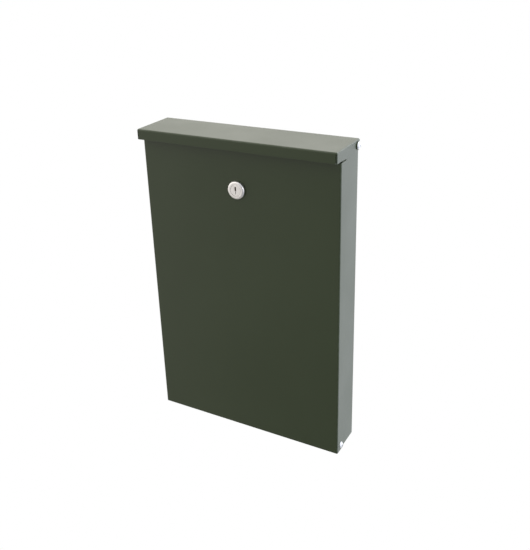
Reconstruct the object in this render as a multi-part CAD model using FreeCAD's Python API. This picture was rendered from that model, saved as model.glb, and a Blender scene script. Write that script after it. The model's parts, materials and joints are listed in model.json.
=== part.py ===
import FreeCAD, Part
import math
import os

# Wall mounted mailbox: a folded steel box with a lift-up lid and a drop-down door with a cam lock.
# Millimetres. +X is to the right seen from the front, +Y goes into the wall, +Z is up.
# The origin is on the wall plane, at the middle of the four screw holes.

# ---- driving dimensions --------------------------------------------------------------------------

WIDTH = 251.0                 # across the lid and the door
HEIGHT = 380.0                # bottom edge of the door to the top of the lid
DEPTH = 49.0                  # face of the door to the back panel
WALL_GAP = 5.0                # back panel to the wall, made by the pressed feet
LID_OVERHANG = 11.0           # front of the lid beyond the face of the door
LIP_HEIGHT = 12.2             # front lip and side flanges of the lid

SHEET = 0.8                   # steel sheet
BEND = 1.8                    # outside radius of every fold
SIDE_GAP = 0.3                # between a side wall and the flange that swings outside it
RUNNING_GAP = 0.05            # round a hinge shank or the lock plug

SEAM = 0.9                    # open corner between the lid's lip and its side flanges
SEAM_TOP = 2.2                # where it ends, below the top of the lid
DOOR_TOP_GAP = 2.0            # lid flange to the top of the door flange
NOTCH_DEPTH = 4.6             # corner cut from the side walls, behind the face of the door
NOTCH_DROP = 7.0              # and below the lid's flange
NOTCH_REACH = 3.0             # and inwards, past the hem
DOOR_FLANGE = 17.5            # depth of the door's side flanges
HEM = 8.0                     # folded-back edges of the back panel, the door and the lid lip
BACK_HEM_INSET = 6.0          # the back panel's hem ends this far inside the side walls
SIDE_HEM = 4.0                # folded-back front edges of the side walls
SIDE_HEM_RISE = 14.0          # where they start, above the bottom edge of the door
SIDE_HEM_DROP = 8.0           # and end, below the lid's flange
DOOR_HEM_INSET = 3.0          # the door's hems end this far inside its flanges
LID_CORNER = 3.0              # rounded corners of the lid's and the door's side flanges
DOOR_CORNER = 2.0

HOLE_SPACING_X = 180.0        # wall screw holes
HOLE_SPACING_Z = 280.0
HOLE_RADIUS = 3.0
FOOT_RADIUS = 13.0            # pressed foot at the back panel
FOOT_FACE_RADIUS = 9.5        # pressed foot at the wall

LID_PIVOT_DEPTH = 44.0        # behind the face of the door
LID_PIVOT_DROP = 6.5          # below the top of the lid
DOOR_PIVOT_DEPTH = 10.0       # behind the face of the door
DOOR_PIVOT_RISE = 7.0         # above the bottom edge of the door
LID_CLEAR_RADIUS = 5.2        # the body stays inside this circle where the lid's rear edge swings
DOOR_CLEAR_RADIUS = 8.7       # the body stays inside this circle where the door's lower edge swings

RIVET_SHANK = 2.0             # radii of the blind rivets
RIVET_HEAD = 4.2
RIVET_TAIL = 2.8
RIVET_BORE = 1.0
RIVET_WASHER = 3.2
RIVET_DOME = 2.2              # height of the head
RIVET_TAIL_LENGTH = 2.0
RIVET_TAIL_ROUND = 0.8
HEAD_GAP = 0.1                # flange to the rivet's head or collar
STEM_SUNK = 0.7               # broken end of the stem below the top of the head
STEM_HEAD = 1.8               # the stem's round head behind the tail
STEM_HEAD_LENGTH = 1.4
STEM_HEAD_ROUND = 0.6
COLLAR_RADIUS = 4.6           # coated collar between the lid's flange and the rivet's head
COLLAR_HEIGHT = 0.8

RAIL_FRONT = 2.8              # rail depths, behind the face of the door
RAIL_BACK = 16.6
RAIL_LOW = 342.0              # rail heights, above the bottom edge of the door
RAIL_HIGH = 374.8
RAIL_TAB = 13.0               # welded end tabs: length, and how far they stay from the rail's edges
RAIL_TAB_LOW = 4.0
RAIL_TAB_HIGH = 6.0
RAIL_END_GAP = 0.4            # rail to the bend of its tabs

FLOOR_SETBACK = 6.2           # front flange of the bottom plate behind the door's face, clear of its hem
FLOOR_FLANGE = 10.0
FLOOR_RELIEF = 2.5            # open rear corners of the bottom plate
FLOOR_END_CUT = 5.0           # its side flanges are cut back at the front, this wide
FLOOR_END_DEPTH = 12.0        # and this deep, clear of the door's rivets
DRAIN_RADIUS = 2.5
DRAIN_PLACES = [-100.0, -50.0, 0.0, 50.0, 100.0]

BUFFER_X = 90.0               # rubber buffers on both sides of the middle
BUFFER_GAP = 0.2              # to the lid and the door when they are shut
LID_BUFFER = 4.0              # radii of the buffers, and of their rounded rims
LID_BUFFER_ROUND = 1.2
DOOR_BUFFER = 5.0
DOOR_BUFFER_ROUND = 0.5
DOOR_BUFFER_RISE = 7.0        # above the lower edge of the rail

LOCK_DROP = 59.8              # lock axis below the top of the lid
LOCK_BARREL = 9.5             # radii of the lock
LOCK_FLANGE = 10.6
BEZEL_ROUND = 2.3             # the bezel rounds over this far inwards
BEZEL_DROP = 2.1              # and this far back from the lock face
PLUG_RADIUS = 6.0
PLUG_HEAD = 6.7
LOCK_PROUD = 4.0              # lock face beyond the face of the door
LOCK_END = 16.5               # rear end of the barrel, behind the face of the door
LOCK_FLAT = 8.0               # flats on the barrel, each side of the axis
LOCK_CLEARANCE = 0.1          # round the barrel in the door and in the toothed washer
GASKET = 0.5                  # thickness under the flange
GASKET_INSET = 0.3            # its rim inside the flange's
HEAD_SEAT = 1.4               # depth of the recess that the plug's head sits in
THREAD_PITCH = 1.0
THREAD_DEPTH = 0.5
THREAD_START = 1.6            # behind the face of the door
RIM_INNER = 7.2               # rim behind the barrel that the stop plate's tab runs against
RIM_HEIGHT = 0.8
TAB_HALF_ANGLE = 20.0         # degrees, half the width of the stop plate's tab
TAB_SLACK = 1.0               # degrees between the tab and the rim at both ends of the turn
STOP_PLATE_RADIUS = 6.9
STOP_TAB = (5.0, 9.4)         # radii that the tab spans
CAM_REACH = 34.0
CAM_TURN = 90.0
CAM_WIDE = 8.6                # half width round the plug, and out at the tip
CAM_TIP = 6.5
CAM_TAPER = 12.0              # the width is the tip's from here on
CAM_CORNER = 2.5
CAM_WASHER = 5.6
SCREW_RADIUS = 2.0
SCREW_ACROSS = 7.0            # screw head, across its flats
SCREW_HEAD = 2.8              # and its height
SCREW_GRIP = 7.0              # length of the screw inside the plug
TANG = 7.0                    # square end of the plug that turns the cam
CAM_THICKNESS = 2.0
NUT_ACROSS = 23.0             # lock nut, across its flats
NUT_THICKNESS = 3.6
NUT_EASING = (1.2, 0.7)       # how its corners are turned off: inwards, along
WASHER_RADIUS = 12.6
WASHER_THICKNESS = 0.8
WASHER_TEETH = 18
TOOTH_GAP = 1.4               # width and depth of the gaps between the teeth
TOOTH_DEPTH = 1.5
KEY_WIDE = 1.0                # half widths of the upper and lower parts of the key slot
KEY_NARROW = 0.35
KEY_HALF = 4.3                # half height of the key slot

WAFER_PLACES = [0.0, 2.1, 4.2, 6.3, 8.4]     # behind the face of the door
WAFER_THICKNESS = 1.2
WAFER_HALF = 3.1              # half width of a wafer
WAFER_REACH = 5.0             # half height of a wafer
SPRING_X = 3.95               # axis of the wafer springs, and their ends above the lock axis
SPRING_LOW = -2.6
SPRING_HIGH = 1.4
SPRING_COIL = 0.45
SPRING_WIRE = 0.11

# ---- places worked out from them -----------------------------------------------------------------

HALF = WIDTH / 2
FACE_Y = -(DEPTH + WALL_GAP)
BACK_Y = -WALL_GAP
TOP_Z = HEIGHT / 2
BOTTOM_Z = -HEIGHT / 2
FLANGE_IN = HALF - SHEET              # inside of the lid and door flanges
WALL_OUT = FLANGE_IN - SIDE_GAP       # outside of the side walls
WALL_IN = WALL_OUT - SHEET            # inside of the side walls
LIP_Y = FACE_Y - LID_OVERHANG
LIP_Z = TOP_Z - LIP_HEIGHT
DOOR_TOP_Z = LIP_Z - DOOR_TOP_GAP
SIDE_TOP_Z = TOP_Z - SHEET - 1.0
SIDE_FRONT_Y = FACE_Y + SHEET + 1.0
FLOOR_FRONT_Y = FACE_Y + FLOOR_SETBACK
LID_PIVOT = (FACE_Y + LID_PIVOT_DEPTH, TOP_Z - LID_PIVOT_DROP)
DOOR_PIVOT = (FACE_Y + DOOR_PIVOT_DEPTH, BOTTOM_Z + DOOR_PIVOT_RISE)
LOCK_Z = TOP_Z - LOCK_DROP
FLANGE_BACK = -GASKET                 # lock depths behind the face of the door, from here to SCREW_SEAT
PLUG_END = LOCK_END + 0.1
TANG_END = PLUG_END + 2.7
CAM_FRONT = PLUG_END + 0.9
CAM_BACK = CAM_FRONT + CAM_THICKNESS
SCREW_SEAT = CAM_BACK + 0.8           # behind the cam's washer

X = FreeCAD.Vector(1, 0, 0)
Y = FreeCAD.Vector(0, 1, 0)
Z = FreeCAD.Vector(0, 0, 1)
SIDES = (-1, 1)


# ---- shared geometry -----------------------------------------------------------------------------

def block(x_range, y_range, z_range):
    """A box between the given limits."""
    corner = FreeCAD.Vector(x_range[0], y_range[0], z_range[0])
    size = (x_range[1] - x_range[0], y_range[1] - y_range[0], z_range[1] - z_range[0])
    return Part.makeBox(*size, corner)


def mirrored(side, low, high):
    """The range low to high on the given side of the middle plane."""
    return tuple(sorted((side * low, side * high)))


def rod(radius, start, direction, length):
    """A round bar from start, along direction."""
    return Part.makeCylinder(radius, length, FreeCAD.Vector(*start), direction)


def straight_edges(shape, direction, keep):
    """The straight edges along direction whose middle point passes the test keep."""
    chosen = []
    for edge in shape.Edges:
        if edge.Degenerated or not isinstance(edge.Curve, Part.Line):
            continue
        if edge.Curve.Direction.cross(direction).Length > 1e-6:
            continue
        if keep(edge.CenterOfMass):
            chosen.append(edge)
    return chosen


def rounded(shape, radius, direction, keep):
    """The shape with its chosen straight edges rounded."""
    return shape.makeFillet(radius, straight_edges(shape, direction, keep))


def near(value, target):
    return abs(value - target) < 0.01


def hem(x_range, y_range, z_range, fold):
    """A folded-back ply of sheet, rounded where it turns: fold gives the edge's direction and test."""
    return rounded(block(x_range, y_range, z_range), SHEET * 0.6, *fold)


def turned(outline, centre):
    """A solid turned about an axis along Y: the outline is (radius, y) points."""
    points = [FreeCAD.Vector(centre[0] + radius, y, centre[1]) for radius, y in outline]
    face = Part.Face(Part.makePolygon(points + points[:1]))
    return face.revolve(FreeCAD.Vector(centre[0], 0, centre[1]), Y, 360)


def prism(outline, y_range):
    """A plate square to Y: the outline is (x, z) points measured from the lock axis."""
    points = [FreeCAD.Vector(x, y_range[0], LOCK_Z + z) for x, z in outline]
    face = Part.Face(Part.makePolygon(points + points[:1]))
    return face.extrude(Y * (y_range[1] - y_range[0]))


# ---- body ----------------------------------------------------------------------------------------

def screw_hole_places():
    """The four wall screw holes, as (x, z)."""
    return [(sx * HOLE_SPACING_X / 2, sz * HOLE_SPACING_Z / 2) for sx in SIDES for sz in SIDES]


def pressed_foot(x, z):
    """The solid cone of one foot, and the same cone hollowed out to sheet thickness."""
    start = FreeCAD.Vector(x, BACK_Y - SHEET, z)
    length = WALL_GAP + SHEET
    cone = Part.makeCone(FOOT_RADIUS, FOOT_FACE_RADIUS, length, start, Y)
    hollow = Part.makeCone(FOOT_RADIUS - SHEET, FOOT_FACE_RADIUS - SHEET, length - SHEET, start, Y)
    return cone, cone.cut(hollow)


def lid_swing_relief():
    """What is cut from the rear top of the body so that the lid's rear edge can swing down behind it."""
    pivot_y, pivot_z = LID_PIVOT
    low = pivot_z + math.sqrt(LID_CLEAR_RADIUS ** 2 - (BACK_Y - pivot_y) ** 2)
    cutter = block((-HALF, HALF), (pivot_y, BACK_Y + 1), (low, TOP_Z + 1))
    return cutter.cut(rod(LID_CLEAR_RADIUS, (-HALF, pivot_y, pivot_z), X, WIDTH)), low


def door_swing_relief():
    """What is cut from the front bottom of the body so that the door's lower edge can swing under it."""
    pivot_y, pivot_z = DOOR_PIVOT
    cutter = block((-HALF, HALF), (FACE_Y, pivot_y), (BOTTOM_Z - 1, pivot_z))
    return cutter.cut(rod(DOOR_CLEAR_RADIUS, (-HALF, pivot_y, pivot_z), X, WIDTH))


def back_and_sides():
    """One sheet folded into the back and both side walls, with a pressed foot at each screw hole."""
    outside = block((-WALL_OUT, WALL_OUT), (SIDE_FRONT_Y, BACK_Y), (BOTTOM_Z, SIDE_TOP_Z))
    outside = rounded(outside, BEND, Z, lambda p: near(p.y, BACK_Y))
    inside = block((-WALL_IN, WALL_IN), (SIDE_FRONT_Y - 1, BACK_Y - SHEET), (BOTTOM_Z - 1, SIDE_TOP_Z + 1))
    inside = rounded(inside, BEND - SHEET, Z, lambda p: near(p.y, BACK_Y - SHEET))
    shell = outside.cut(inside)
    for x, z in screw_hole_places():
        cone, cup = pressed_foot(x, z)
        shell = shell.cut(cone).fuse(cup)
        shell = shell.cut(rod(HOLE_RADIUS, (x, BACK_Y - 2, z), Y, WALL_GAP + 4))
    relief, back_top = lid_swing_relief()
    shell = shell.cut(relief).cut(door_swing_relief())
    half = WALL_IN - BACK_HEM_INSET
    hem_y, hem_z = (BACK_Y - 2 * SHEET, BACK_Y - SHEET), (back_top - HEM, back_top)
    fold = (X, lambda p: near(p.z, back_top) and near(p.y, BACK_Y - 2 * SHEET))
    shell = shell.fuse(hem((-half, half), hem_y, hem_z, fold))
    hem_z = (BOTTOM_Z + SIDE_HEM_RISE, LIP_Z - SIDE_HEM_DROP)
    for side in SIDES:
        hem_x, hem_y = mirrored(side, WALL_IN - SHEET, WALL_IN), (SIDE_FRONT_Y, SIDE_FRONT_Y + SIDE_HEM)
        fold = (Z, lambda p: near(p.y, SIDE_FRONT_Y) and near(abs(p.x), WALL_IN - SHEET))
        shell = shell.fuse(hem(hem_x, hem_y, hem_z, fold))
        notch_x = mirrored(side, WALL_IN - NOTCH_REACH, WALL_OUT + 1)
        notch_y = (SIDE_FRONT_Y - 1, FACE_Y + NOTCH_DEPTH)
        shell = shell.cut(block(notch_x, notch_y, (LIP_Z - NOTCH_DROP, TOP_Z)))
        for pivot_y, pivot_z in (LID_PIVOT, DOOR_PIVOT):
            shell = shell.cut(rod(RIVET_SHANK, (side * (WALL_IN - 5), pivot_y, pivot_z), X * side, 10))
    return shell.removeSplitter()


def bottom_plate():
    """A shallow tray welded between the walls, with drain holes and a turned-up front edge."""
    height = (BOTTOM_Z, BOTTOM_Z + FLOOR_FLANGE)
    outside = block((-WALL_IN, WALL_IN), (FLOOR_FRONT_Y, BACK_Y - SHEET), height)
    outside = rounded(outside, BEND, X, lambda p: near(p.z, BOTTOM_Z))
    outside = rounded(outside, BEND, Y, lambda p: near(p.z, BOTTOM_Z))
    inside = block((-WALL_IN + SHEET, WALL_IN - SHEET), (FLOOR_FRONT_Y + SHEET, BACK_Y - 2 * SHEET),
                   (BOTTOM_Z + SHEET, height[1] + 1))
    inside = rounded(inside, BEND - SHEET, X, lambda p: near(p.z, BOTTOM_Z + SHEET))
    inside = rounded(inside, BEND - SHEET, Y, lambda p: near(p.z, BOTTOM_Z + SHEET))
    plate = outside.cut(inside)
    above = (BOTTOM_Z + BEND, height[1] + 1)
    for side in SIDES:
        front_end = mirrored(side, WALL_IN - FLOOR_END_CUT, WALL_IN + 1)
        plate = plate.cut(block(front_end, (FLOOR_FRONT_Y - 1, FLOOR_FRONT_Y + FLOOR_END_DEPTH), above))
        corner_x = mirrored(side, WALL_IN - FLOOR_RELIEF, WALL_IN + 1)
        corner_y = (BACK_Y - SHEET - FLOOR_RELIEF, BACK_Y)
        plate = plate.cut(block(corner_x, corner_y, (BOTTOM_Z - 1, height[1] + 1)))
    middle_y = (FLOOR_FRONT_Y + BACK_Y) / 2
    for x in DRAIN_PLACES:
        plate = plate.cut(rod(DRAIN_RADIUS, (x, middle_y, BOTTOM_Z - 1), Z, 3))
    return plate.removeSplitter()


def strike_rail():
    """The channel across the front that stiffens the box, stops the door and holds the lock's cam."""
    front, back = FACE_Y + RAIL_FRONT, FACE_Y + RAIL_BACK
    low, high = BOTTOM_Z + RAIL_LOW, BOTTOM_Z + RAIL_HIGH
    half = WALL_IN - BEND - RAIL_END_GAP
    outside = block((-half, half), (front, back), (low, high))
    outside = rounded(outside, BEND, X, lambda p: near(p.z, high))
    inside = block((-half - 1, half + 1), (front + SHEET, back - SHEET), (low - 1, high - SHEET))
    inside = rounded(inside, BEND - SHEET, X, lambda p: near(p.z, high - SHEET))
    tab_z = (low + RAIL_TAB_LOW, high - RAIL_TAB_HIGH)
    tabs = block((-WALL_IN, WALL_IN), (back - SHEET, back + RAIL_TAB), tab_z)
    tabs = rounded(tabs, BEND, Z, lambda p: near(p.y, back - SHEET))
    between = block((-WALL_IN + SHEET, WALL_IN - SHEET), (back, back + RAIL_TAB + 1), (low, high))
    between = rounded(between, BEND - SHEET, Z, lambda p: near(p.y, back))
    return outside.cut(inside).fuse(tabs.cut(between)).removeSplitter()


def lid_buffers():
    """Two round rubber buffers on top of the rail that the lid lands on."""
    base = BOTTOM_Z + RAIL_HIGH
    height = TOP_Z - SHEET - BUFFER_GAP - base
    y = FACE_Y + (RAIL_FRONT + RAIL_BACK) / 2
    pads = []
    for side in SIDES:
        pad = rod(LID_BUFFER, (side * BUFFER_X, y, base), Z, height)
        rim = [e for e in pad.Edges if near(e.CenterOfMass.z, base + height)]
        pads.append(pad.makeFillet(LID_BUFFER_ROUND, rim))
    return Part.makeCompound(pads)


def door_buffers():
    """Two flat rubber buffers on the front of the rail that the door lands on."""
    y = FACE_Y + SHEET + BUFFER_GAP
    thickness = FACE_Y + RAIL_FRONT - y
    z = BOTTOM_Z + RAIL_LOW + DOOR_BUFFER_RISE
    pads = []
    for side in SIDES:
        pad = rod(DOOR_BUFFER, (side * BUFFER_X, y, z), Y, thickness)
        rim = [e for e in pad.Edges if near(e.CenterOfMass.y, y)]
        pads.append(pad.makeFillet(DOOR_BUFFER_ROUND, rim))
    return Part.makeCompound(pads)


# ---- lid and door --------------------------------------------------------------------------------

def lid_panel():
    """The lid: a top plate with a front lip and two side flanges, open at the back."""
    outside = block((-HALF, HALF), (LIP_Y, BACK_Y), (LIP_Z, TOP_Z))
    outside = rounded(outside, BEND, X, lambda p: near(p.z, TOP_Z) and near(p.y, LIP_Y))
    outside = rounded(outside, BEND, Y, lambda p: near(p.z, TOP_Z))
    outside = rounded(outside, LID_CORNER, X, lambda p: near(p.z, LIP_Z) and near(p.y, BACK_Y))
    inside = block((-FLANGE_IN, FLANGE_IN), (LIP_Y + SHEET, BACK_Y + 5), (LIP_Z - 1, TOP_Z - SHEET))
    inside = rounded(inside, BEND - SHEET, X,
                     lambda p: near(p.z, TOP_Z - SHEET) and near(p.y, LIP_Y + SHEET))
    inside = rounded(inside, BEND - SHEET, Y, lambda p: near(p.z, TOP_Z - SHEET))
    lid = outside.cut(inside)
    lip_half = FLANGE_IN - SEAM
    for side in SIDES:
        seam_x = mirrored(side, lip_half, FLANGE_IN)
        lid = lid.cut(block(seam_x, (LIP_Y - 1, LIP_Y + SHEET + 1), (LIP_Z - 1, TOP_Z - SEAM_TOP)))
        hole = rod(RIVET_SHANK + RUNNING_GAP, (side * (FLANGE_IN - 1), *LID_PIVOT), X * side, 4)
        lid = lid.cut(hole)
    fold = (X, lambda p: near(p.z, LIP_Z) and near(p.y, LIP_Y + 2 * SHEET))
    hem_y, hem_z = (LIP_Y + SHEET, LIP_Y + 2 * SHEET), (LIP_Z, LIP_Z + HEM)
    lid = lid.fuse(hem((-lip_half, lip_half), hem_y, hem_z, fold))
    return lid.removeSplitter()


def door_panel():
    """The door: a flat front with side flanges that wrap round the side walls and hemmed ends."""
    outside = block((-HALF, HALF), (FACE_Y, FACE_Y + DOOR_FLANGE), (BOTTOM_Z, DOOR_TOP_Z))
    outside = rounded(outside, BEND, Z, lambda p: near(p.y, FACE_Y))
    outside = rounded(outside, DOOR_CORNER, X, lambda p: near(p.y, FACE_Y + DOOR_FLANGE))
    inside = block((-FLANGE_IN, FLANGE_IN), (FACE_Y + SHEET, FACE_Y + DOOR_FLANGE + 1),
                   (BOTTOM_Z - 1, DOOR_TOP_Z + 1))
    inside = rounded(inside, BEND - SHEET, Z, lambda p: near(p.y, FACE_Y + SHEET))
    door = outside.cut(inside)
    inner_y = FACE_Y + 2 * SHEET
    hem_x = WALL_OUT - DOOR_HEM_INSET
    for low, high, end in ((BOTTOM_Z, BOTTOM_Z + HEM, BOTTOM_Z), (DOOR_TOP_Z - HEM, DOOR_TOP_Z, DOOR_TOP_Z)):
        door = door.fuse(hem((-hem_x, hem_x), (FACE_Y + SHEET, inner_y), (low, high),
                             (X, lambda p: near(p.z, end) and near(p.y, inner_y))))
    for side in SIDES:
        hole = rod(RIVET_SHANK + RUNNING_GAP, (side * (FLANGE_IN - 1), *DOOR_PIVOT), X * side, 4)
        door = door.cut(hole)
    lock_hole = rod(LOCK_BARREL + LOCK_CLEARANCE, (0, FACE_Y - 1, LOCK_Z), Y, 4)
    half = LOCK_FLAT + LOCK_CLEARANCE
    flats = block((-half, half), (FACE_Y - 2, FACE_Y + 5), (LOCK_Z - 12, LOCK_Z + 12))
    return door.cut(lock_hole.common(flats)).removeSplitter()


# ---- hinge rivets --------------------------------------------------------------------------------

def both_sides(make, pivot, stand_off=0.0):
    """The same small piece at the left and right ends of a hinge line, as separate solids."""
    return Part.makeCompound([make(side, pivot, stand_off) for side in SIDES])


def rivet_body(side, pivot, stand_off):
    """A blind rivet: domed head outside the flange, shank through both sheets, set tail inside."""
    base = HALF + HEAD_GAP + stand_off
    out = X * side
    dome_radius = (RIVET_HEAD ** 2 + RIVET_DOME ** 2) / (2 * RIVET_DOME)
    centre = FreeCAD.Vector(side * (base + RIVET_DOME - dome_radius), *pivot)
    dome = Part.makeSphere(dome_radius, centre)
    dome = dome.common(rod(RIVET_HEAD, (side * base, *pivot), out, RIVET_DOME + 1))
    shank_start = WALL_IN - SHEET
    shank = rod(RIVET_SHANK, (side * shank_start, *pivot), out, base + 0.1 - shank_start)
    tail_end = shank_start - RIVET_TAIL_LENGTH
    tail = rod(RIVET_TAIL, (side * tail_end, *pivot), out, RIVET_TAIL_LENGTH)
    rim = [e for e in tail.Edges if near(abs(e.CenterOfMass.x), tail_end)]
    tail = tail.makeFillet(RIVET_TAIL_ROUND, rim)
    bore = rod(RIVET_BORE, (side * (shank_start - 5), *pivot), out, 20)
    return dome.fuse(shank).fuse(tail).cut(bore).removeSplitter()


def rivet_stem(side, pivot, stand_off):
    """The broken-off steel stem left in a blind rivet, with its round head behind the tail."""
    tail_end = WALL_IN - SHEET - RIVET_TAIL_LENGTH
    top = HALF + stand_off + RIVET_DOME - STEM_SUNK
    stem = rod(RIVET_BORE, (side * tail_end, *pivot), X * side, top - tail_end)
    head_end = tail_end - STEM_HEAD_LENGTH
    head = rod(STEM_HEAD, (side * head_end, *pivot), X * side, STEM_HEAD_LENGTH)
    rim = [e for e in head.Edges if near(abs(e.CenterOfMass.x), head_end)]
    head = head.makeFillet(STEM_HEAD_ROUND, rim)
    return stem.fuse(head).removeSplitter()


def rivet_washer(side, pivot, stand_off):
    """A backing washer between the side wall and the rivet's tail."""
    start = (side * (WALL_IN - SHEET), *pivot)
    return rod(RIVET_WASHER, start, X * side, SHEET).cut(rod(RIVET_SHANK, start, X * side, SHEET))


def rivet_collar(side, pivot, stand_off):
    """A collar that holds the rivet's head clear of the flange."""
    start = (side * (HALF + HEAD_GAP), *pivot)
    return rod(COLLAR_RADIUS, start, X * side, stand_off).cut(rod(RIVET_SHANK, start, X * side, stand_off))


# ---- lock: the parts fixed to the door -----------------------------------------------------------

def at_face(y):
    """A depth measured from the face of the door."""
    return FACE_Y + y


def flats_cutter(half, y_range):
    """Everything further than half from the axis, to the left and right."""
    reach = LOCK_FLANGE + 2
    left = block((-reach, -half), y_range, (LOCK_Z - reach, LOCK_Z + reach))
    right = block((half, reach), y_range, (LOCK_Z - reach, LOCK_Z + reach))
    return left.fuse(right)


def thread_outline(radius, start, end):
    """Ridges and valleys of a fine thread, as (radius, y) points from start to end."""
    points = []
    count = int((end - start) / THREAD_PITCH)
    for index in range(count):
        y = start + index * THREAD_PITCH
        ridge = (at_face(y + 0.4 * THREAD_PITCH), at_face(y + 0.6 * THREAD_PITCH))
        points += [(radius - THREAD_DEPTH, at_face(y)), (radius, ridge[0]), (radius, ridge[1])]
    points.append((radius - THREAD_DEPTH, at_face(start + count * THREAD_PITCH)))
    return points


def sector(inner, outer, start, end, y_range):
    """Part of a ring about the lock axis. Angles run from the left side of the lock over its top."""
    steps = max(2, int(abs(end - start) / 6))
    angles = [math.radians(start + (end - start) * i / steps) for i in range(steps + 1)]
    outline = [(-outer * math.cos(a), outer * math.sin(a)) for a in angles]
    outline += [(-inner * math.cos(a), inner * math.sin(a)) for a in reversed(angles)]
    return prism(outline, y_range)


def lock_housing():
    """Flanged lock body with a threaded barrel, two flats, and a rim behind that limits the turn."""
    face = -LOCK_PROUD
    bore = PLUG_RADIUS + RUNNING_GAP
    head_bore = PLUG_HEAD + 0.08
    seat = face + HEAD_SEAT
    outline = [(bore, at_face(seat)), (head_bore, at_face(seat)), (head_bore, at_face(face))]
    steps = 9
    for index in range(steps + 1):
        angle = math.pi / 2 * index / steps
        radius = LOCK_FLANGE - BEZEL_ROUND * (1 - math.sin(angle))
        outline.append((radius, at_face(face + BEZEL_DROP * (1 - math.cos(angle)))))
    outline += [(LOCK_FLANGE, at_face(FLANGE_BACK)), (LOCK_BARREL, at_face(FLANGE_BACK))]
    outline += [(LOCK_BARREL, at_face(THREAD_START - 0.2))]
    outline += thread_outline(LOCK_BARREL, THREAD_START, LOCK_END - 0.9)
    root = LOCK_BARREL - THREAD_DEPTH
    outline += [(root, at_face(LOCK_END)), (bore, at_face(LOCK_END))]
    housing = turned(outline, (0, LOCK_Z))
    housing = housing.cut(flats_cutter(LOCK_FLAT, (at_face(FLANGE_BACK), at_face(LOCK_END + 2))))
    free = TAB_HALF_ANGLE + TAB_SLACK
    rim_y = (at_face(LOCK_END), at_face(LOCK_END + RIM_HEIGHT))
    rim = sector(RIM_INNER, root, CAM_TURN + free, 360 - free, rim_y)
    rim = rim.cut(flats_cutter(LOCK_FLAT, (at_face(LOCK_END - 1), at_face(LOCK_END + 2))))
    return housing.fuse(rim).removeSplitter()


def lock_gasket():
    """Thin rubber ring between the lock's flange and the door."""
    outer = LOCK_FLANGE - GASKET_INSET
    return turned([(LOCK_BARREL, at_face(FLANGE_BACK)), (outer, at_face(FLANGE_BACK)),
                   (outer, at_face(0)), (LOCK_BARREL, at_face(0))], (0, LOCK_Z))


def lock_washer():
    """Toothed washer between the nut and the inside of the door."""
    inner, outer = LOCK_BARREL + LOCK_CLEARANCE, WASHER_RADIUS
    front, back = at_face(SHEET), at_face(SHEET + WASHER_THICKNESS)
    washer = turned([(inner, front), (outer, front), (outer, back), (inner, back)], (0, LOCK_Z))
    gap_z = (LOCK_Z - TOOTH_GAP / 2, LOCK_Z + TOOTH_GAP / 2)
    for index in range(WASHER_TEETH):
        angle = 360.0 * index / WASHER_TEETH
        gap = block((outer - TOOTH_DEPTH, outer + 1), (front - 1, back + 1), gap_z)
        washer = washer.cut(gap.rotate(FreeCAD.Vector(0, 0, LOCK_Z), Y, angle))
    return washer


def hexagon(across_flats, y_range):
    """A hexagonal bar on the lock axis."""
    radius = across_flats / 2 / math.cos(math.pi / 6)
    angles = [math.radians(60 * i) for i in range(6)]
    return prism([(radius * math.cos(a), radius * math.sin(a)) for a in angles], y_range)


def lock_nut():
    """Hexagonal nut on the barrel, with its corners eased."""
    y_range = (at_face(SHEET + WASHER_THICKNESS), at_face(SHEET + WASHER_THICKNESS + NUT_THICKNESS))
    corner = NUT_ACROSS / 2 / math.cos(math.pi / 6)
    inwards, along = NUT_EASING
    easing = turned([(0, y_range[0]), (corner - inwards, y_range[0]), (corner, y_range[0] + along),
                     (corner, y_range[1] - along), (corner - inwards, y_range[1]), (0, y_range[1])],
                    (0, LOCK_Z))
    nut = hexagon(NUT_ACROSS, y_range).common(easing)
    return nut.cut(rod(LOCK_BARREL, (0, y_range[0] - 1, LOCK_Z), Y, 8))


# ---- lock: the parts that turn -------------------------------------------------------------------

def around_lock(x_range, y_range, z_range):
    """A box measured from the lock axis and the face of the door."""
    depths = (at_face(y_range[0]), at_face(y_range[1]))
    return block(x_range, depths, (LOCK_Z + z_range[0], LOCK_Z + z_range[1]))


def lock_plug():
    """The turning plug: key slot in front, wafer slots, square end and screw hole behind."""
    front = -LOCK_PROUD + 0.15
    plug = turned([(0, at_face(front)), (PLUG_HEAD - 0.3, at_face(front)), (PLUG_HEAD, at_face(front + 0.3)),
                   (PLUG_HEAD, at_face(-LOCK_PROUD + 1.3)), (PLUG_RADIUS, at_face(-LOCK_PROUD + 1.3)),
                   (PLUG_RADIUS, at_face(PLUG_END)), (0, at_face(PLUG_END))], (0, LOCK_Z))
    half = TANG / 2
    plug = plug.fuse(around_lock((-half, half), (PLUG_END, TANG_END), (-half, half)))
    key_depth = WAFER_PLACES[-1] + 1.5
    plug = plug.cut(around_lock((-KEY_WIDE, KEY_WIDE), (front - 1, key_depth), (-0.4, KEY_HALF)))
    plug = plug.cut(around_lock((-KEY_NARROW, KEY_NARROW), (front - 1, key_depth), (-KEY_HALF, 0)))
    for y in WAFER_PLACES:
        y_range = (y - WAFER_THICKNESS / 2 - 0.05, y + WAFER_THICKNESS / 2 + 0.05)
        plug = plug.cut(around_lock((-WAFER_HALF - 0.1, WAFER_HALF + 0.1), y_range, (-7, 7)))
        plug = plug.cut(around_lock((WAFER_HALF, SPRING_X + 0.8), y_range, (SPRING_LOW, 7)))
    screw_hole = rod(SCREW_RADIUS, (0, at_face(TANG_END + 1), LOCK_Z), -Y, SCREW_GRIP + 2)
    return plug.cut(screw_hole).removeSplitter()


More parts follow.
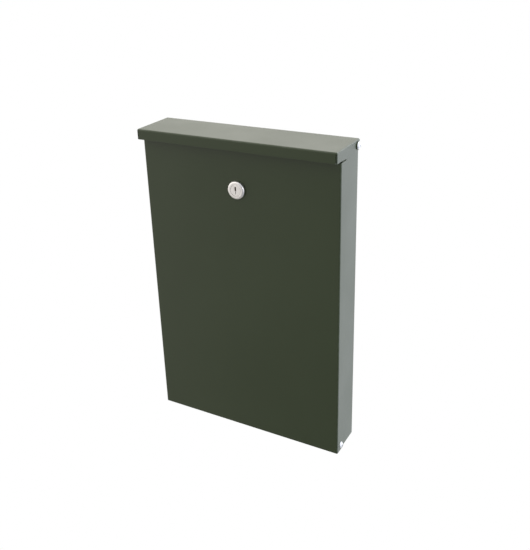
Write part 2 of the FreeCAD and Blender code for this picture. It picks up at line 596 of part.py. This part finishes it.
def lock_wafers():
    """Five flat wafers with a window for the key and an ear that their spring pushes on."""
    wafers = []
    for index, y in enumerate(WAFER_PLACES):
        y_range = (y - WAFER_THICKNESS / 2, y + WAFER_THICKNESS / 2)
        wafer = around_lock((-WAFER_HALF, WAFER_HALF), y_range, (-WAFER_REACH, WAFER_REACH))
        ear = around_lock((WAFER_HALF, SPRING_X + 0.6), y_range, (SPRING_HIGH, SPRING_HIGH + 1.2))
        wafer = wafer.fuse(ear)
        drop = 0.4 * (index % 3)
        window = around_lock((-1.5, 1.5), (y_range[0] - 1, y_range[1] + 1), (-3.6 + drop, 2.8 + drop))
        wafers.append(wafer.cut(window).removeSplitter())
    return Part.makeCompound(wafers)


def wafer_springs():
    """A small coil spring under the ear of each wafer."""
    springs = []
    end_gap = SPRING_WIRE + 0.02
    for y in WAFER_PLACES:
        low, high = LOCK_Z + SPRING_LOW + end_gap, LOCK_Z + SPRING_HIGH - end_gap
        helix = Part.makeHelix((high - low) / 6, high - low, SPRING_COIL)
        helix.translate(FreeCAD.Vector(SPRING_X, at_face(y), low))
        start = FreeCAD.Vector(SPRING_X + SPRING_COIL, at_face(y), low)
        ring = Part.Wire([Part.Circle(start, Y, SPRING_WIRE).toShape()])
        springs.append(Part.Wire(helix.Edges).makePipeShell([ring], True, True))
    return Part.makeCompound(springs)


def stop_plate():
    """Thin plate on the square end whose tab meets the housing's rim at both ends of the turn."""
    y_range = (at_face(PLUG_END + 0.2), at_face(CAM_FRONT))
    radius = STOP_PLATE_RADIUS
    plate = turned([(0, y_range[0]), (radius, y_range[0]), (radius, y_range[1]), (0, y_range[1])],
                   (0, LOCK_Z))
    plate = plate.fuse(sector(*STOP_TAB, -TAB_HALF_ANGLE, TAB_HALF_ANGLE, y_range))
    return plate.cut(square_hole()).removeSplitter()


def square_hole():
    """The square hole of everything that sits on the plug's square end."""
    half = TANG / 2 + 0.03
    return around_lock((-half, half), (PLUG_END - 1, TANG_END + 5), (-half, half))


def lock_cam():
    """The flat bar that swings up behind the rail. It points to the left when the door is free."""
    y_range = (at_face(CAM_FRONT), at_face(CAM_BACK))
    wide, tip = CAM_WIDE, CAM_TIP
    cam = turned([(0, y_range[0]), (wide, y_range[0]), (wide, y_range[1]), (0, y_range[1])], (0, LOCK_Z))
    bar = prism([(0, wide), (-CAM_TAPER, tip), (-CAM_REACH, tip),
                 (-CAM_REACH, -tip), (-CAM_TAPER, -tip), (0, -wide)], y_range)
    bar = rounded(bar, CAM_CORNER, Y, lambda p: near(p.x, -CAM_REACH))
    return cam.fuse(bar).cut(square_hole()).removeSplitter()


def cam_washer():
    """Flat washer that holds the cam on the square end."""
    start = (0, at_face(CAM_BACK), LOCK_Z)
    thickness = SCREW_SEAT - CAM_BACK
    return rod(CAM_WASHER, start, Y, thickness).cut(rod(SCREW_RADIUS + 0.1, start, Y, thickness))


def cam_screw():
    """Hexagon head screw in the end of the plug."""
    seat, top = SCREW_SEAT, SCREW_SEAT + SCREW_HEAD
    head = hexagon(SCREW_ACROSS, (at_face(seat), at_face(top)))
    corner = SCREW_ACROSS / 2 / math.cos(math.pi / 6)
    easing = turned([(0, at_face(seat)), (corner, at_face(seat)), (corner, at_face(top - 0.5)),
                     (corner - 0.8, at_face(top)), (0, at_face(top))], (0, LOCK_Z))
    shank_start = TANG_END - SCREW_GRIP
    shank = rod(SCREW_RADIUS, (0, at_face(shank_start), LOCK_Z), Y, seat - shank_start)
    return head.common(easing).fuse(shank).removeSplitter()


# ---- write one file for each piece ---------------------------------------------------------------

def pieces():
    """Every node's name and shape."""
    return {
        "back_and_sides": back_and_sides(),
        "bottom_plate": bottom_plate(),
        "strike_rail": strike_rail(),
        "lid_buffers": lid_buffers(),
        "door_buffers": door_buffers(),
        "lid_hinge_rivets": both_sides(rivet_body, LID_PIVOT, COLLAR_HEIGHT),
        "lid_hinge_collars": both_sides(rivet_collar, LID_PIVOT, COLLAR_HEIGHT),
        "lid_rivet_stems": both_sides(rivet_stem, LID_PIVOT, COLLAR_HEIGHT),
        "lid_rivet_washers": both_sides(rivet_washer, LID_PIVOT),
        "door_hinge_rivets": both_sides(rivet_body, DOOR_PIVOT),
        "door_rivet_stems": both_sides(rivet_stem, DOOR_PIVOT),
        "door_rivet_washers": both_sides(rivet_washer, DOOR_PIVOT),
        "lid_panel": lid_panel(),
        "door_panel": door_panel(),
        "lock_housing": lock_housing(),
        "lock_gasket": lock_gasket(),
        "lock_washer": lock_washer(),
        "lock_nut": lock_nut(),
        "lock_plug": lock_plug(),
        "lock_wafers": lock_wafers(),
        "wafer_springs": wafer_springs(),
        "stop_plate": stop_plate(),
        "lock_cam": lock_cam(),
        "cam_washer": cam_washer(),
        "cam_screw": cam_screw(),
    }


def main():
    os.makedirs("parts", exist_ok=True)
    for name, shape in pieces().items():
        box = shape.BoundBox
        print(f"{name:20s} solids {len(shape.Solids)} valid {shape.isValid()} volume {shape.Volume:10.2f}"
              f"  x {box.XMin:8.2f} {box.XMax:8.2f}  y {box.YMin:7.2f} {box.YMax:7.2f}"
              f"  z {box.ZMin:8.2f} {box.ZMax:8.2f}")
        shape.exportStep(f"parts/{name}.step")


main()
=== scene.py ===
import json
import math

import bmesh
import bpy
from mathutils import Matrix, Vector, noise
from mathutils.bvhtree import BVHTree


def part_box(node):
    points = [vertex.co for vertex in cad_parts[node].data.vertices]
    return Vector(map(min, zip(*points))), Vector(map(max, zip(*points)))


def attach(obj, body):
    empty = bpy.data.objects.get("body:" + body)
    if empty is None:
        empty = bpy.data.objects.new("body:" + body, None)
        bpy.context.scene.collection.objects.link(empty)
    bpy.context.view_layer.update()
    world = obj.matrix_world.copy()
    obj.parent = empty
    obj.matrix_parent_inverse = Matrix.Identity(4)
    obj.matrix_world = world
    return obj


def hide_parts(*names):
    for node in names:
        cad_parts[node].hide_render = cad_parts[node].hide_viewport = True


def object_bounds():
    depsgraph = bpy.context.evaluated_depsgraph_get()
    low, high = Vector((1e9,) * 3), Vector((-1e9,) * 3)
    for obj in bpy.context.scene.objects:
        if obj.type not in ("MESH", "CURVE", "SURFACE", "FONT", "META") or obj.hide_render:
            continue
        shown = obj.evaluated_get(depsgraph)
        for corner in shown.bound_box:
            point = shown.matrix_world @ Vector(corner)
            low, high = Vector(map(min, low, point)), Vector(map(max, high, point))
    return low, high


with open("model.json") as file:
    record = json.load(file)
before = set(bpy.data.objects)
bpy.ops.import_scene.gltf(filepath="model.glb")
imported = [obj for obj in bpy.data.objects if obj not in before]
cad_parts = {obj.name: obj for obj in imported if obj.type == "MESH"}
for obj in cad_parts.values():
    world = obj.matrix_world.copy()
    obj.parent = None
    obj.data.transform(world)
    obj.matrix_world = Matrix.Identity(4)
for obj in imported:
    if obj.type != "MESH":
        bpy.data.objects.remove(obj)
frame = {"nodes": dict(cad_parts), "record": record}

# Wall mounted mailbox: the looks of the folded sheets, the rivets and the cam lock.
# Metres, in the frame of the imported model. Lengths named below in millimetres are times MM.

MM = 0.001
CAD_LOW, CAD_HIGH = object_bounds()
DOOR_LOW, DOOR_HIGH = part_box("door_panel")
LID_LOW, LID_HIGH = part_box("lid_panel")
PLUG_LOW, PLUG_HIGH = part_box("lock_plug")
LOCK_AXIS = (PLUG_LOW + PLUG_HIGH) / 2

scene = bpy.context.scene
scene.view_settings.view_transform = "Standard"
scene.view_settings.look = "None"


# ---- camera: above the box and to its right ------------------------------------------------------

CAMERA_FROM_DOOR = Vector((0.4170, -0.6881, 0.5973))   # from the middle of the door's lower front edge
CAMERA_TURN = math.radians(30.30)
CAMERA_DOWN = math.radians(23.22)
CAMERA_ROLL = math.radians(-2.11)
CAMERA_LENS = 49.6                   # millimetres, on a sensor SENSOR_SIDE long
SENSOR_SIDE = 36.0
CAMERA_SHIFT = (0.02605, -0.0545)    # of the picture's longer side
NEAREST_SEEN = 0.01


def add_camera():
    data = bpy.data.cameras.new("camera")
    data.sensor_width = SENSOR_SIDE
    data.lens = CAMERA_LENS
    data.shift_x, data.shift_y = CAMERA_SHIFT
    data.clip_start = NEAREST_SEEN
    camera = bpy.data.objects.new("camera", data)
    turn = Matrix.Rotation(CAMERA_TURN, 4, "Z")
    tilt = Matrix.Rotation(math.pi / 2 - CAMERA_DOWN, 4, "X")
    roll = Matrix.Rotation(CAMERA_ROLL, 4, "Z")
    place = Vector((0.0, DOOR_LOW.y, DOOR_LOW.z)) + CAMERA_FROM_DOOR
    camera.matrix_world = Matrix.Translation(place) @ turn @ tilt @ roll
    scene.collection.objects.link(camera)
    scene.camera = camera


# ---- node helpers --------------------------------------------------------------------------------

class Nodes:
    """A node tree, with short calls for the nodes used here."""

    def __init__(self, tree):
        self.tree = tree

    def new(self, kind, **settings):
        node = self.tree.nodes.new(kind)
        for key, value in settings.items():
            setattr(node, key, value)
        return node

    def put(self, value, socket):
        """Link a socket, or set a plain value."""
        if isinstance(value, bpy.types.NodeSocket):
            self.tree.links.new(value, socket)
        else:
            socket.default_value = value

    def range(self, value, low, high, start=0.0, end=1.0):
        """Map start..end to low..high, held at both ends."""
        node = self.new("ShaderNodeMapRange")
        for name, number in (("From Min", start), ("From Max", end), ("To Min", low), ("To Max", high)):
            node.inputs[name].default_value = number
        self.put(value, node.inputs["Value"])
        return node.outputs["Result"]

    def math(self, operation, first, second):
        node = self.new("ShaderNodeMath", operation=operation)
        self.put(first, node.inputs[0])
        self.put(second, node.inputs[1])
        return node.outputs["Value"]

    def mix(self, factor, first, second):
        """Blend two colours, given as sockets or as three numbers."""
        node = self.new("ShaderNodeMix", data_type="RGBA")
        self.put(factor, node.inputs["Factor"])
        for value, socket in ((first, "A"), (second, "B")):
            self.put(value if isinstance(value, bpy.types.NodeSocket) else (*value, 1.0), node.inputs[socket])
        return node.outputs["Result"]

    def axes(self, vector):
        """The X, Y and Z of a vector."""
        split = self.new("ShaderNodeSeparateXYZ")
        self.put(vector, split.inputs["Vector"])
        return split.outputs["X"], split.outputs["Y"], split.outputs["Z"]


class Surface(Nodes):
    """A material in the making."""

    def __init__(self, name, metallic=0.0, ior=1.5):
        self.material = bpy.data.materials.new(name)
        self.material.use_nodes = True
        super().__init__(self.material.node_tree)
        self.shader = self.tree.nodes["Principled BSDF"]
        self.shader.inputs["Metallic"].default_value = metallic
        self.shader.inputs["IOR"].default_value = ior
        self.coordinates = self.new("ShaderNodeTexCoord")
        self.where = self.coordinates.outputs["Object"]

    def noise(self, scale, detail=2.0, where=None, roughness=0.5):
        node = self.new("ShaderNodeTexNoise")
        self.put(where or self.where, node.inputs["Vector"])
        node.inputs["Scale"].default_value = scale
        node.inputs["Detail"].default_value = detail
        node.inputs["Roughness"].default_value = roughness
        return node.outputs["Fac"]

    def stretched(self, scale):
        """Object coordinates scaled by axis, for brushed and drawn marks."""
        node = self.new("ShaderNodeMapping")
        node.inputs["Scale"].default_value = scale
        self.put(self.where, node.inputs["Vector"])
        return node.outputs["Vector"]

    def edge(self):
        """1 on the eased edges of a piece, 0 on its faces."""
        return self.new("ShaderNodeAttribute", attribute_name=EDGE_LAYER).outputs["Fac"]

    def bump(self, layers):
        """Bump from (height, depth in metres) layers, one on top of the other."""
        normal = None
        for height, depth in layers:
            node = self.new("ShaderNodeBump")
            node.inputs["Strength"].default_value = 1.0
            node.inputs["Distance"].default_value = depth
            self.put(height, node.inputs["Height"])
            if normal:
                self.put(normal, node.inputs["Normal"])
            normal = node.outputs["Normal"]
        self.put(normal, self.shader.inputs["Normal"])

    def finish(self, color, roughness):
        self.put(color if isinstance(color, bpy.types.NodeSocket) else (*color, 1.0),
                 self.shader.inputs["Base Color"])
        self.put(roughness, self.shader.inputs["Roughness"])
        return self.material


# ---- materials -----------------------------------------------------------------------------------

EDGE_LAYER = "eased_edge"


def green_coat():
    """Semi-gloss dark green powder coat: orange peel, faint clouding, edges rubbed lighter (partly wear,
    partly a painted highlight), dusty on top.
    """
    n = Surface("green_powder_coat")
    clouds = n.range(n.noise(9, 3), 0, 1, 0.3, 0.7)
    color = n.mix(clouds, (0.0225, 0.0358, 0.0102), (0.0260, 0.0403, 0.0127))
    speckle = n.range(n.noise(1600, 1), 0, 1, 0.60, 0.78)
    color = n.mix(n.math("MULTIPLY", speckle, 0.25), color, (0.036, 0.052, 0.026))
    # lighter edges and folds: partly rubbed wear, partly a painted highlight along every edge
    patchy = n.range(n.noise(160, 4, roughness=0.7), 0, 1, 0.46, 0.62)
    rubbed_and_highlit = n.math("MULTIPLY", n.edge(), patchy)
    color = n.mix(n.math("MULTIPLY", rubbed_and_highlit, 0.55), color, (0.085, 0.100, 0.072))
    chips = n.range(n.noise(420, 5, roughness=0.8), 0, 1, 0.70, 0.72)
    chipped = n.math("MULTIPLY", n.edge(), chips)
    color = n.mix(chipped, color, (0.28, 0.285, 0.28))
    facing_up = n.range(n.axes(n.coordinates.outputs["Normal"])[2], 0, 1, 0.85, 1.0)
    settled = n.math("MULTIPLY", facing_up, n.range(n.noise(30, 5), 0, 1, 0.35, 0.75))
    color = n.mix(n.math("MULTIPLY", settled, 0.06), color, (0.42, 0.41, 0.36))
    rough = n.range(n.noise(14, 4), 0.335, 0.395, 0.3, 0.7)
    rough = n.math("ADD", rough, n.math("MULTIPLY", rubbed_and_highlit, -0.08))
    rough = n.math("ADD", rough, n.math("MULTIPLY", settled, 0.04))
    n.bump([(n.noise(380, 1), 0.000022), (n.noise(1900, 1), 0.0000035), (chipped, -0.00003)])
    return n.finish(color, rough)


def turned_plating():
    """Bright nickel plating over turned rings."""
    n = Surface("bright_nickel", metallic=1.0)
    centred = n.new("ShaderNodeMapping")
    centred.inputs["Location"].default_value = (-LOCK_AXIS.x, 0.0, -LOCK_AXIS.z)
    n.put(n.where, centred.inputs["Vector"])
    rings = n.new("ShaderNodeTexWave", wave_type="RINGS", rings_direction="Y", wave_profile="SIN")
    rings.inputs["Scale"].default_value = 900
    rings.inputs["Distortion"].default_value = 0.6
    rings.inputs["Detail"].default_value = 2
    n.put(centred.outputs["Vector"], rings.inputs["Vector"])
    tarnish = n.range(n.noise(240, 4), 0, 1, 0.4, 0.75)
    color = n.mix(tarnish, (0.92, 0.89, 0.87), (0.82, 0.79, 0.77))
    color = n.mix(n.math("MULTIPLY", n.edge(), 0.7), color, (0.88, 0.87, 0.85))
    rough = n.range(n.noise(500, 3), 0.33, 0.42, 0.3, 0.7)
    rough = n.math("ADD", rough, n.math("MULTIPLY", n.edge(), -0.08))
    n.bump([(rings.outputs["Fac"], 0.0000022), (n.noise(1500, 2), 0.000003)])
    return n.finish(color, rough)


def rivet_aluminium():
    """Bare aluminium, a little dull, marked by the rivet tool."""
    n = Surface("bare_aluminium", metallic=1.0)
    dull = n.range(n.noise(350, 4), 0, 1, 0.35, 0.7)
    color = n.mix(dull, (0.66, 0.665, 0.67), (0.54, 0.545, 0.55))
    rough = n.range(n.noise(700, 3), 0.26, 0.42, 0.3, 0.7)
    n.bump([(n.noise(620, 2), 0.000018)])
    return n.finish(color, rough)


def zinc_steel():
    """Bright zinc plating: faint yellow and blue clouding, brushed along the strip, lighter on its edges."""
    n = Surface("zinc_plated_steel", metallic=1.0)
    clouds = n.range(n.noise(130, 3), 0, 1, 0.35, 0.65)
    color = n.mix(clouds, (0.60, 0.595, 0.54), (0.55, 0.58, 0.61))
    color = n.mix(n.math("MULTIPLY", n.edge(), 0.6), color, (0.74, 0.75, 0.75))
    strokes = n.noise(1.0, 3, n.stretched((250, 2500, 2500)))
    rough = n.range(strokes, 0.26, 0.42, 0.3, 0.7)
    n.bump([(strokes, 0.000006), (n.noise(420, 2), 0.000008)])
    return n.finish(color, rough)


def wafer_brass():
    """Stamped brass strip."""
    n = Surface("stamped_brass", metallic=1.0)
    strokes = n.noise(1.0, 3, n.stretched((2600, 300, 300)))
    color = n.mix(n.range(strokes, 0, 1, 0.3, 0.7), (0.70, 0.50, 0.22), (0.76, 0.58, 0.29))
    n.bump([(strokes, 0.000005)])
    return n.finish(color, n.range(strokes, 0.24, 0.38, 0.3, 0.7))


def black_rubber():
    """Moulded black rubber with a fine matt grain."""
    n = Surface("black_rubber", ior=1.45)
    grain = n.noise(1400, 3)
    color = n.mix(n.range(n.noise(180, 4), 0, 1, 0.35, 0.7), (0.012, 0.012, 0.012), (0.026, 0.026, 0.025))
    n.bump([(grain, 0.00002)])
    return n.finish(color, n.range(grain, 0.62, 0.80, 0.3, 0.7))


MATERIALS = {
    "green_coat": green_coat(),
    "lock_plating": turned_plating(),
    "rivet_aluminium": rivet_aluminium(),
    "zinc_steel": zinc_steel(),
    "wafer_brass": wafer_brass(),
    "black_rubber": black_rubber(),
}
SLOT_OF = {row["node"]: row["material_slot"] for row in frame["record"]["subparts"]}
BODY_OF = {node: body for body, names in frame["record"]["behaviour"]["bodies"].items() for node in names}


def dress_nodes():
    """Every CAD node gets its slot's material, whether it shows or is replaced below."""
    for name, node in frame["nodes"].items():
        node.data.materials.clear()
        node.data.materials.append(MATERIALS[SLOT_OF[name]])


# ---- eased pieces: the CAD shape with rounded edges and sheet that isn't dead flat ---------------

WELD = 0.002 * MM
FLAT_ANGLE = math.radians(0.3)       # faces closer than this are one flat face
SHARP_ANGLE = math.radians(35)       # edges sharper than this are eased
TURNING_ANGLE = 0.03                 # radians: edges sharper than this belong to a fold
LEVEL = 0.995                        # a normal with a part over this is a flat wall's, not a fold's
GUARD = 0.6                          # no eased point leaves the surface by more than this times the width
GRID_STEP = 9 * MM


def clean_copy(node):
    """The node's mesh, welded, with its flat faces whole again."""
    shape = bmesh.new()
    shape.from_mesh(frame["nodes"][node].data)
    bmesh.ops.remove_doubles(shape, verts=shape.verts, dist=WELD)
    bmesh.ops.dissolve_limit(shape, angle_limit=FLAT_ANGLE, verts=shape.verts, edges=shape.edges)
    return shape


def cut_grid(shape, axes):
    """Cut the shape along a regular grid, so that its flat faces can bend."""
    for axis in axes:
        low = min(v.co[axis] for v in shape.verts)
        high = max(v.co[axis] for v in shape.verts)
        count = max(1, round((high - low) / GRID_STEP))
        normal = Vector(1.0 if i == axis else 0.0 for i in range(3))
        for index in range(1, count):
            place = normal * (low + (high - low) * index / count)
            parts = list(shape.verts) + list(shape.edges) + list(shape.faces)
            bmesh.ops.bisect_plane(shape, geom=parts, dist=WELD, plane_co=place, plane_no=normal)


def edges_over(shape, angle):
    """The edges between two faces that meet at more than the angle."""
    return [e for e in shape.edges if len(e.link_faces) == 2 and e.calc_face_angle(0.0) > angle]


def is_outer_fold(face):
    """True on the outside of a fold, which turns away from its neighbours on every side."""
    if max(abs(part) for part in face.normal) > LEVEL:
        return False
    turning = edges_over(face, TURNING_ANGLE)
    return bool(turning) and all(e.is_convex for e in turning)


def ease_edges(shape, width, steps, bend_wear_and_highlight):
    """Round every sharp edge. Mark the new faces, and the folds a little, for the wear in the materials and
    the painted edge highlight of the green coat.
    """
    surface = BVHTree.FromBMesh(shape)
    made = bmesh.ops.bevel(shape, geom=edges_over(shape, SHARP_ANGLE), offset=width, offset_type="OFFSET",
                           segments=steps, profile=0.5, affect="EDGES", clamp_overlap=False)
    for vertex in made["verts"]:                       # where edges cross at a narrow angle
        nearest, _, _, away = surface.find_nearest(vertex.co)
        if away > GUARD * width:
            vertex.co = nearest
    layer = shape.loops.layers.float.new(EDGE_LAYER)
    eased_faces = set(made["faces"])
    shape.normal_update()
    for face in shape.faces:
        # the same mask drives wear in every material and a painted edge highlight in the green coat
        wear = 1.0 if face in eased_faces else bend_wear_and_highlight if is_outer_fold(face) else 0.0
        for loop in face.loops:
            loop[layer] = wear


def add_piece(name, shape, node):
    """Make the object, ride it on the node's body and stand it in for the node."""
    mesh = bpy.data.meshes.new(name)
    shape.to_mesh(mesh)
    shape.free()
    for face in mesh.polygons:
        face.use_smooth = True
    mesh.materials.append(MATERIALS[SLOT_OF[node]])
    piece = bpy.data.objects.new(name, mesh)
    scene.collection.objects.link(piece)
    weighted = piece.modifiers.new("even_shading", "WEIGHTED_NORMAL")
    weighted.mode = "FACE_AREA"
    weighted.weight = 100              # the most: large flat faces decide the shading
    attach(piece, BODY_OF[node])
    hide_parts(node)
    return piece


def eased(node, width, steps=2, grid=(), bend=None, bend_wear_and_highlight=0.0):
    """A finer copy of a CAD node. bend moves a point of the sheet by a little."""
    shape = clean_copy(node)
    cut_grid(shape, grid)
    if bend:
        for vertex in shape.verts:
            vertex.co += bend(vertex.co)
    ease_edges(shape, width, steps, bend_wear_and_highlight)
    return add_piece(node + "_finish", shape, node)


# ---- sheets --------------------------------------------------------------------------------------

SHEET_EDGE = 0.22 * MM               # coated edges of the folded sheet
FOLD_WEAR_AND_HIGHLIGHT = 0.45                     # wear along the folds, with a painted highlight in the green coat, where the sheet's edges have 1
WAVE_HEIGHT = 0.22 * MM              # how far the door's face strays from flat
LID_WAVE_HEIGHT = WAVE_HEIGHT / 2
WAVE_LENGTH = 110 * MM
DOOR_FACE = 3 * MM                   # points this near the door's front move with it
LID_FACE = 1.5 * MM                  # and this near the lid's top
DOOR_HOLD_X, DOOR_HOLD_Z = 45 * MM, 40 * MM    # a sheet is flat along its folds, and free this far inside
LID_HOLD_X, LID_HOLD_Y = 40 * MM, 22 * MM
LOCK_FLAT, LOCK_FREE = 16 * MM, 56 * MM        # round the lock the door is flat, and free from here on
DOOR_SEED, LID_SEED = 3.0, 8.0       # two different waves
LID_SAG = 0.4                        # the lid's wave sits this share of its height below the flat top


def fade(value, low, high, margin):
    """0 at both ends of the range, rising smoothly to 1 over the margin."""
    inside = min(value - low, high - value) / margin
    inside = max(0.0, min(1.0, inside))
    return inside * inside * (3 - 2 * inside)


def wave(first, second, seed):
    return noise.noise(Vector((first / WAVE_LENGTH, second / WAVE_LENGTH, seed)))


def bend_door(point):
    """The door's face wanders a little between its folded edges."""
    if point.y > DOOR_LOW.y + DOOR_FACE:
        return Vector()
    hold = fade(point.x, DOOR_LOW.x, DOOR_HIGH.x, DOOR_HOLD_X)
    hold *= fade(point.z, DOOR_LOW.z, DOOR_HIGH.z, DOOR_HOLD_Z)
    away = (point - LOCK_AXIS).xz.length
    hold *= min(1.0, max(0.0, (away - LOCK_FLAT) / (LOCK_FREE - LOCK_FLAT)))
    return Vector((0.0, WAVE_HEIGHT * hold * wave(point.x, point.z, DOOR_SEED), 0.0))


def bend_lid(point):
    """The lid's top sags a little in its middle."""
    if point.z < LID_HIGH.z - LID_FACE:
        return Vector()
    hold = fade(point.x, LID_LOW.x, LID_HIGH.x, LID_HOLD_X)
    hold *= fade(point.y, LID_LOW.y, LID_HIGH.y, LID_HOLD_Y)
    return Vector((0.0, 0.0, LID_WAVE_HEIGHT * hold * (wave(point.x, point.y, LID_SEED) - LID_SAG)))


def make_sheets():
    eased("door_panel", SHEET_EDGE, grid=(0, 2), bend=bend_door, bend_wear_and_highlight=FOLD_WEAR_AND_HIGHLIGHT)
    eased("lid_panel", SHEET_EDGE, grid=(0, 1), bend=bend_lid, bend_wear_and_highlight=FOLD_WEAR_AND_HIGHLIGHT)
    eased("back_and_sides", SHEET_EDGE, grid=(0, 2), bend_wear_and_highlight=FOLD_WEAR_AND_HIGHLIGHT)
    eased("bottom_plate", SHEET_EDGE, bend_wear_and_highlight=FOLD_WEAR_AND_HIGHLIGHT)
    eased("strike_rail", SHEET_EDGE, bend_wear_and_highlight=FOLD_WEAR_AND_HIGHLIGHT)


# ---- rivets and lock -----------------------------------------------------------------------------

def make_hardware():
    for line in ("lid", "door"):
        eased(line + "_hinge_rivets", 0.12 * MM)
        eased(line + "_rivet_stems", 0.10 * MM)
        eased(line + "_rivet_washers", 0.10 * MM)
    eased("lid_hinge_collars", 0.20 * MM)
    for node in ("lock_housing", "lock_plug"):
        eased(node, 0.08 * MM)
    for node in ("lock_nut", "lock_washer", "cam_washer", "cam_screw"):
        eased(node, 0.10 * MM)
    for node in ("lock_cam", "stop_plate"):
        eased(node, 0.16 * MM)


# ---- surroundings --------------------------------------------------------------------------------

PANEL_DISTANCE = 2.0


def soft_box(name, direction, size, radiance):
    """A soft panel of light in the given direction, facing the box, out of the camera's sight."""
    data = bpy.data.lights.new(name, "AREA")
    data.shape = "RECTANGLE"
    data.size, data.size_y = size
    data.energy = radiance * math.pi * size[0] * size[1]
    light = bpy.data.objects.new(name, data)
    light.location = (CAD_LOW + CAD_HIGH) / 2 + Vector(direction).normalized() * PANEL_DISTANCE
    light.rotation_euler = (-Vector(direction)).to_track_quat("-Z", "Y").to_euler()
    light.visible_camera = False
    scene.collection.objects.link(light)


# The studio's glow by direction: right, depth and up run from -1 to 1, and each pair is where a change
# starts and ends.

FRONT_GLOW = 0.43                    # in front of the door
FRONT_RIGHT = -0.60                  # added towards the right
FRONT_LOW, FRONT_LOW_UP = 0.10, (-0.70, -0.46)       # times this near the floor, up to the full glow
FRONT_HIGH, FRONT_HIGH_UP = 1.8, (-0.25, 0.5)        # and times this overhead
BACK_GLOW = 1.845                    # behind the box
BACK_RIGHT = 0.47
BACK_LOW, BACK_HIGH, BACK_UP = 0.68, 1.12, (-0.62, -0.12)
FRONT_TO_BACK = (-0.85, 0.45)
LEAST_GLOW = 0.05
LEFT_TINT, RIGHT_TINT = (1.0, 0.975, 0.94), (0.945, 0.978, 1.085)
LEFT_TO_RIGHT = (-0.4, 0.5)
WHITE = (1.0, 1.0, 1.0)


def add_world():
    """A pale studio, bright behind the box and dimmer in front of it, warm on the left and cool on the right.

    The camera itself sees plain white.
    """
    world = bpy.data.worlds.new("studio")
    scene.world = world
    world.use_nodes = True
    n = Nodes(world.node_tree)
    background = n.tree.nodes["Background"]
    right, depth, up = n.axes(n.new("ShaderNodeTexCoord").outputs["Generated"])
    back = n.math("ADD", n.math("MULTIPLY", right, BACK_RIGHT), BACK_GLOW)
    back = n.math("MULTIPLY", back, n.range(up, BACK_LOW, BACK_HIGH, *BACK_UP))
    front = n.math("ADD", n.math("MULTIPLY", right, FRONT_RIGHT), FRONT_GLOW)
    front = n.math("MULTIPLY", n.math("MAXIMUM", front, 0.0), n.range(up, FRONT_LOW, 1.0, *FRONT_LOW_UP))
    front = n.math("MULTIPLY", front, n.range(up, 1.0, FRONT_HIGH, *FRONT_HIGH_UP))
    behind = n.range(depth, 0, 1, *FRONT_TO_BACK)
    ahead = n.math("SUBTRACT", 1.0, behind)
    glow = n.math("ADD", n.math("MULTIPLY", back, behind), n.math("MULTIPLY", front, ahead))
    glow = n.math("MAXIMUM", glow, LEAST_GLOW)
    tint = n.mix(n.range(right, 0, 1, *LEFT_TO_RIGHT), LEFT_TINT, RIGHT_TINT)
    seen = n.new("ShaderNodeLightPath").outputs["Is Camera Ray"]
    n.put(n.mix(seen, tint, WHITE), background.inputs["Color"])
    strength = n.new("ShaderNodeMix")
    n.put(seen, strength.inputs["Factor"])
    n.put(glow, strength.inputs["A"])
    strength.inputs["B"].default_value = 1.0
    n.put(strength.outputs["Result"], background.inputs["Strength"])


FLOOR_DROP = 1.3       # the box hangs this far above the floor
FLOOR_HALF = 0.75
FLOOR_COLOR = (0.42, 0.41, 0.38)
FLOOR_ROUGHNESS = 0.9


def add_floor():
    """A plain pale floor well below the wall box. The camera sees it evenly lit."""
    mesh = bpy.data.meshes.new("floor")
    z = CAD_LOW.z - FLOOR_DROP
    corners = [(x * FLOOR_HALF, y * FLOOR_HALF, z) for x, y in ((-1, -1), (1, -1), (1, 1), (-1, 1))]
    mesh.from_pydata(corners, [], [(0, 1, 2, 3)])
    floor = bpy.data.objects.new("floor", mesh)
    scene.collection.objects.link(floor)
    n = Surface("pale_floor")
    n.finish(FLOOR_COLOR, FLOOR_ROUGHNESS)
    glow = n.new("ShaderNodeEmission")
    choose = n.new("ShaderNodeMixShader")
    n.put(n.new("ShaderNodeLightPath").outputs["Is Camera Ray"], choose.inputs["Fac"])
    n.put(n.shader.outputs["BSDF"], choose.inputs[1])
    n.put(glow.outputs["Emission"], choose.inputs[2])
    n.put(choose.outputs["Shader"], n.tree.nodes["Material Output"].inputs["Surface"])
    mesh.materials.append(n.material)


add_camera()
add_world()
add_floor()
soft_box("rear_panel", direction=(0.36, 0.81, 0.46), size=(1.1, 1.1), radiance=1.5)
soft_box("right_panel", direction=(0.75, -0.40, 0.15), size=(0.5, 1.5), radiance=1.9)
dress_nodes()
make_sheets()
make_hardware()
